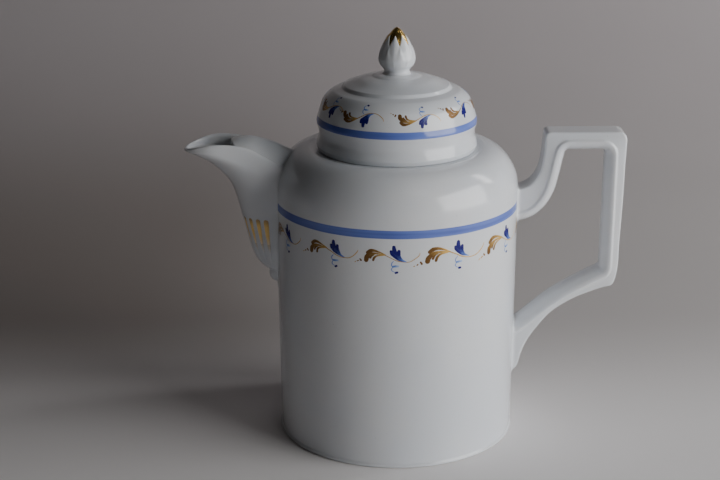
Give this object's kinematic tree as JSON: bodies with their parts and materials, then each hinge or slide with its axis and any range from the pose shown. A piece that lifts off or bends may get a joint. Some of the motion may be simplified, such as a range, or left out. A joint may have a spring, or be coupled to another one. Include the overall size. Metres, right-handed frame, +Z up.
{
  "type": "porcelain coffee pot",
  "caption": "Straight-sided porcelain coffee pot with a beak spout, a squared loop handle, a domed cap lid with a bud finial, and painted leaf borders.",
  "frame": {"origin": "centre of the foot ring, on the surface the pot stands on", "axes": "+Z up along the body's axis, +X towards the handle, -X towards the spout"},
  "size_m": [0.215, 0.1192, 0.2046],
  "materials": {
    "porcelain": "clear glossy glaze over white porcelain",
    "blue_enamel": "glossy light and dark blue enamel, fired on the glaze",
    "gilding": "burnished gold, partly worn"
  },
  "bodies": {
    "pot": {"pot_body": "porcelain", "spout": "porcelain", "handle": "porcelain"},
    "lid": {"lid": "porcelain", "lid_finial": "gilding"}
  },
  "joints": [
    {"name": "lid_lift", "type": "slide", "parent": "pot", "child": "lid", "axis": [0, 0, 1], "range_m": [0, 0.03]}
  ]
}
